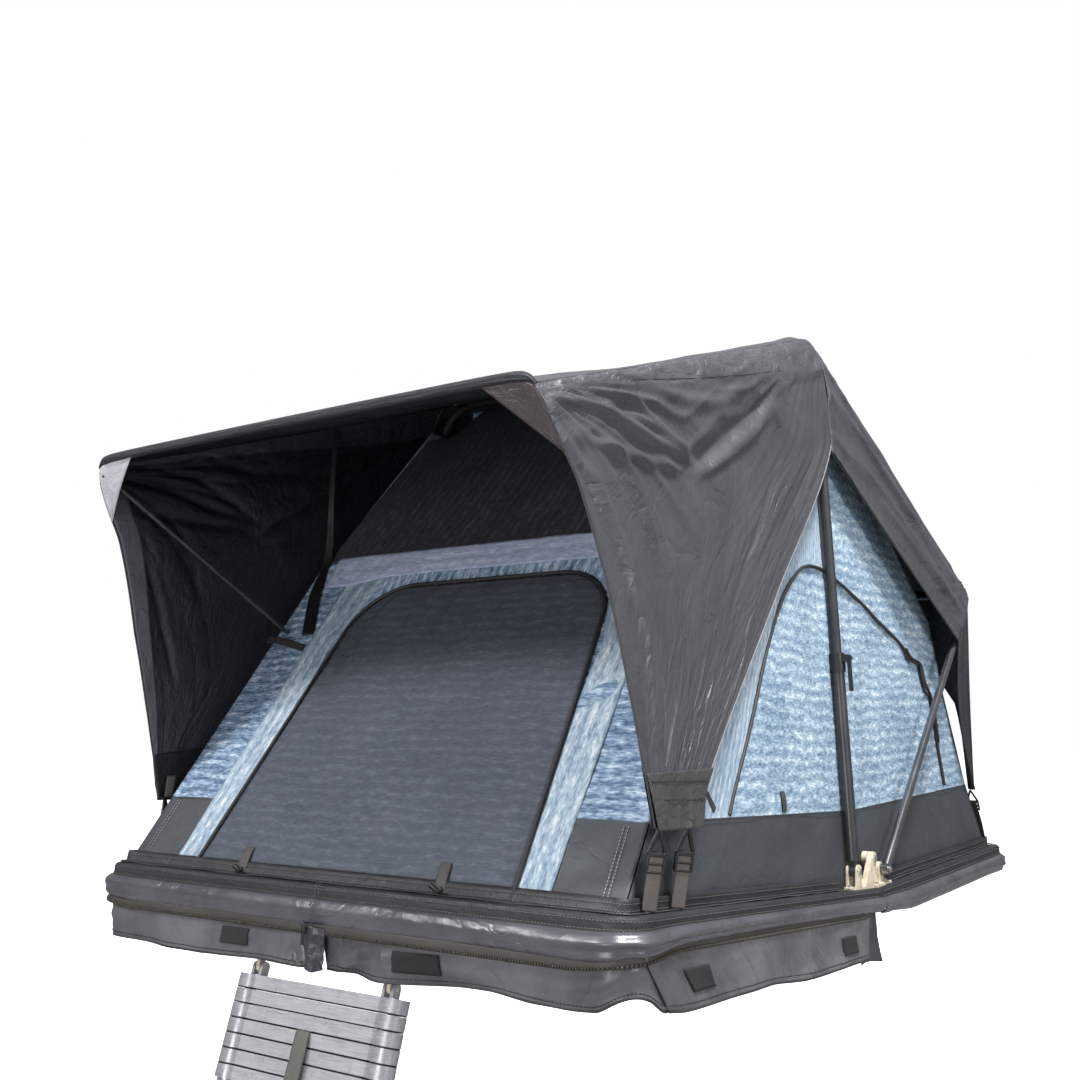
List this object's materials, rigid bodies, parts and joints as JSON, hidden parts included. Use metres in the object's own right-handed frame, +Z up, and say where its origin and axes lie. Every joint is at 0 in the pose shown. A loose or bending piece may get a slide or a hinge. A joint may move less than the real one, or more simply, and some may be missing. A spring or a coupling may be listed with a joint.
{
  "type": "roof top tent",
  "caption": "Fold-out soft-shell roof top tent with hinged base halves, telescopic ridge bow, fly with front awning, hanging travel cover and telescopic ladder.",
  "frame": {"origin": "centre of the four bolt holes in the undersides of the two mounting rails, under the rear base half", "axes": "+X to the tent's right, +Y to the rear along the length, +Z up, -Z towards the vehicle's roof bars"},
  "size_m": [1.51, 2.7266, 2.1621],
  "materials": {
    "deck": "satin powder coat",
    "frame_alloy": "mill finish",
    "rail": "satin black",
    "zinc": "zinc plated",
    "casting": "ivory glass-filled nylon",
    "pole_black": "black anodised",
    "pole_silver": "anodised",
    "lever": "moulded",
    "ladder_alloy": "anodised",
    "mattress": "woven cover",
    "pvc": "glossy coated fabric",
    "skirt": "coated fabric",
    "wall_print": "printed cotton canvas",
    "mesh": "dark cloth over mesh",
    "black_cloth": "matt",
    "fly": "coated polyester",
    "webbing": "woven webbing",
    "buckle": "moulded"
  },
  "bodies": {
    "rear_base": {"rear_panel": "deck", "rear_frame": "frame_alloy", "mount_rails": "rail", "rail_bolts": "zinc", "rear_hub_left": "casting", "rear_hub_right": "casting", "rear_hub_bolts": "zinc", "hinge_pins": "zinc", "rear_bow_pins": "zinc", "rear_mattress": "mattress", "rear_strip": "pvc", "side_rear_left": "wall_print", "side_rear_right": "wall_print", "rear_wall": "wall_print", "fly_rear": "fly", "rear_ties": "buckle"},
    "front_base": {"front_panel": "deck", "front_frame": "frame_alloy", "front_hub_left": "casting", "front_hub_right": "casting", "front_hub_bolts": "zinc", "ridge_pole_pins": "zinc", "front_mattress": "mattress", "front_strip": "pvc", "upright_feet": "casting", "ladder_hooks": "casting", "front_wall": "wall_print", "door": "mesh", "roof_front": "black_cloth", "side_front_left": "wall_print", "side_front_right": "wall_print", "fly_front": "fly", "skirt_front": "skirt", "skirt_sides": "skirt", "straps_front": "webbing", "buckles_front": "buckle"},
    "leg_left": {"lower_tube_left": "pole_black", "clamp_collar_left": "lever"},
    "leg_right": {"lower_tube_right": "pole_black", "clamp_collar_right": "lever"},
    "bow_left": {"upper_bow_left": "pole_black", "ridge_sleeve": "pole_black"},
    "bow_right": {"upper_bow_right": "pole_black"},
    "lever_left": {"clamp_lever_left": "lever"},
    "lever_right": {"clamp_lever_right": "lever"},
    "rear_bow": {"rear_bow": "pole_silver"},
    "upright_left": {"upright_left": "pole_black"},
    "upright_right": {"upright_right": "pole_black"},
    "arm_left": {"awning_arm_left": "pole_black"},
    "arm_right": {"awning_arm_right": "pole_black"},
    "ladder_1": {"ladder_1": "ladder_alloy"},
    "ladder_2": {"ladder_2": "ladder_alloy"},
    "ladder_3": {"ladder_3": "ladder_alloy"},
    "ladder_4": {"ladder_4": "ladder_alloy", "ladder_strap": "webbing"},
    "ladder_5": {"ladder_5": "ladder_alloy"},
    "ladder_6": {"ladder_6": "ladder_alloy"},
    "ladder_7": {"ladder_7": "ladder_alloy"},
    "ladder_8": {"ladder_8": "ladder_alloy"},
    "ladder_9": {"ladder_9": "ladder_alloy"}
  },
  "joints": [
    {"name": "base_fold", "type": "hinge", "parent": "rear_base", "child": "front_base", "pos_m": [0, -0.62, 0.18], "axis": [-1, 0, 0], "range_deg": [0, 175.5], "deforming": ["front_wall", "door", "roof_front", "side_front_left", "side_front_right", "fly_front", "straps_front", "buckles_front", "side_rear_left", "side_rear_right", "rear_wall", "fly_rear", "rear_ties"]},
    {"name": "ridge_leg_left", "type": "hinge", "parent": "front_base", "child": "leg_left", "pos_m": [-0.718, -0.73201, 0.15872], "axis": [1, 0, 0], "range_deg": [0, 87.2]},
    {"name": "bow_drop_left", "type": "slide", "parent": "leg_left", "child": "bow_left", "axis": [0.0499, 0.0263, 0.9984], "range_m": [-0.286, 0]},
    {"name": "lever_left", "type": "hinge", "parent": "leg_left", "child": "lever_left", "pos_m": [-0.72132, -0.71794, 0.69337], "axis": [0, 0.9997, -0.0263], "range_deg": [0, 100]},
    {"name": "upright_left", "type": "hinge", "parent": "front_base", "child": "upright_left", "pos_m": [-0.655, -1.52115, 0.20077], "axis": [-1, 0, 0], "range_deg": [0, 73.2]},
    {"name": "awning_arm_left", "type": "hinge", "parent": "upright_left", "child": "arm_left", "pos_m": [-0.637, -1.32988, 0.7409], "axis": [1, 0, 0], "range_deg": [0, 96.3]},
    {"name": "ridge_leg_right", "type": "hinge", "parent": "front_base", "child": "leg_right", "pos_m": [0.718, -0.73201, 0.15872], "axis": [1, 0, 0], "range_deg": [0, 87.2]},
    {"name": "bow_drop_right", "type": "slide", "parent": "leg_right", "child": "bow_right", "axis": [-0.0499, 0.0263, 0.9984], "range_m": [-0.286, 0]},
    {"name": "lever_right", "type": "hinge", "parent": "leg_right", "child": "lever_right", "pos_m": [0.72132, -0.71794, 0.69337], "axis": [0, -0.9997, 0.0263], "range_deg": [0, 100]},
    {"name": "upright_right", "type": "hinge", "parent": "front_base", "child": "upright_right", "pos_m": [0.655, -1.52115, 0.20077], "axis": [-1, 0, 0], "range_deg": [0, 73.2]},
    {"name": "awning_arm_right", "type": "hinge", "parent": "upright_right", "child": "arm_right", "pos_m": [0.637, -1.32988, 0.7409], "axis": [1, 0, 0], "range_deg": [0, 96.3]},
    {"name": "rear_bow_fold", "type": "hinge", "parent": "rear_base", "child": "rear_bow", "pos_m": [0, -0.54, 0.145], "axis": [-1, 0, 0], "range_deg": [0, 38.7]},
    {"name": "ladder_swing", "type": "hinge", "parent": "front_base", "child": "ladder_1", "pos_m": [0, -1.86446, 0.01914], "axis": [1, 0, 0], "range_deg": [0, 101.7]},
    {"name": "ladder_slide_2", "type": "slide", "parent": "ladder_1", "child": "ladder_2", "axis": [0, -0.309, -0.9511], "range_m": [0, 0.24]},
    {"name": "ladder_slide_3", "type": "slide", "parent": "ladder_2", "child": "ladder_3", "axis": [0, -0.309, -0.9511], "range_m": [0, 0.24]},
    {"name": "ladder_slide_4", "type": "slide", "parent": "ladder_3", "child": "ladder_4", "axis": [0, -0.309, -0.9511], "range_m": [0, 0.24]},
    {"name": "ladder_slide_5", "type": "slide", "parent": "ladder_4", "child": "ladder_5", "axis": [0, -0.309, -0.9511], "range_m": [0, 0.24]},
    {"name": "ladder_slide_6", "type": "slide", "parent": "ladder_5", "child": "ladder_6", "axis": [0, -0.309, -0.9511], "range_m": [0, 0.24]},
    {"name": "ladder_slide_7", "type": "slide", "parent": "ladder_6", "child": "ladder_7", "axis": [0, -0.309, -0.9511], "range_m": [0, 0.24]},
    {"name": "ladder_slide_8", "type": "slide", "parent": "ladder_7", "child": "ladder_8", "axis": [0, -0.309, -0.9511], "range_m": [0, 0.222]},
    {"name": "ladder_slide_9", "type": "slide", "parent": "ladder_8", "child": "ladder_9", "axis": [0, -0.309, -0.9511], "range_m": [0, 0.24]}
  ],
  "couplings": [
    {"joint": "ridge_leg_left", "follows": "base_fold", "ratio": 0.49577},
    {"joint": "bow_drop_left", "follows": "base_fold", "m_per_rad": -0.093044},
    {"joint": "upright_left", "follows": "base_fold", "ratio": 0.41595},
    {"joint": "awning_arm_left", "follows": "base_fold", "ratio": 0.54758},
    {"joint": "ridge_leg_right", "follows": "base_fold", "ratio": 0.49577},
    {"joint": "bow_drop_right", "follows": "base_fold", "m_per_rad": -0.093044},
    {"joint": "upright_right", "follows": "base_fold", "ratio": 0.41595},
    {"joint": "awning_arm_right", "follows": "base_fold", "ratio": 0.54758},
    {"joint": "rear_bow_fold", "follows": "base_fold", "ratio": 0.21937},
    {"joint": "ladder_swing", "follows": "base_fold", "ratio": 0.57835},
    {"joint": "ladder_slide_3", "follows": "ladder_slide_2", "ratio": 1},
    {"joint": "ladder_slide_4", "follows": "ladder_slide_2", "ratio": 1},
    {"joint": "ladder_slide_5", "follows": "ladder_slide_2", "ratio": 1},
    {"joint": "ladder_slide_6", "follows": "ladder_slide_2", "ratio": 1},
    {"joint": "ladder_slide_7", "follows": "ladder_slide_2", "ratio": 1},
    {"joint": "ladder_slide_8", "follows": "ladder_slide_2", "ratio": 0.925},
    {"joint": "ladder_slide_9", "follows": "ladder_slide_2", "ratio": 1}
  ]
}
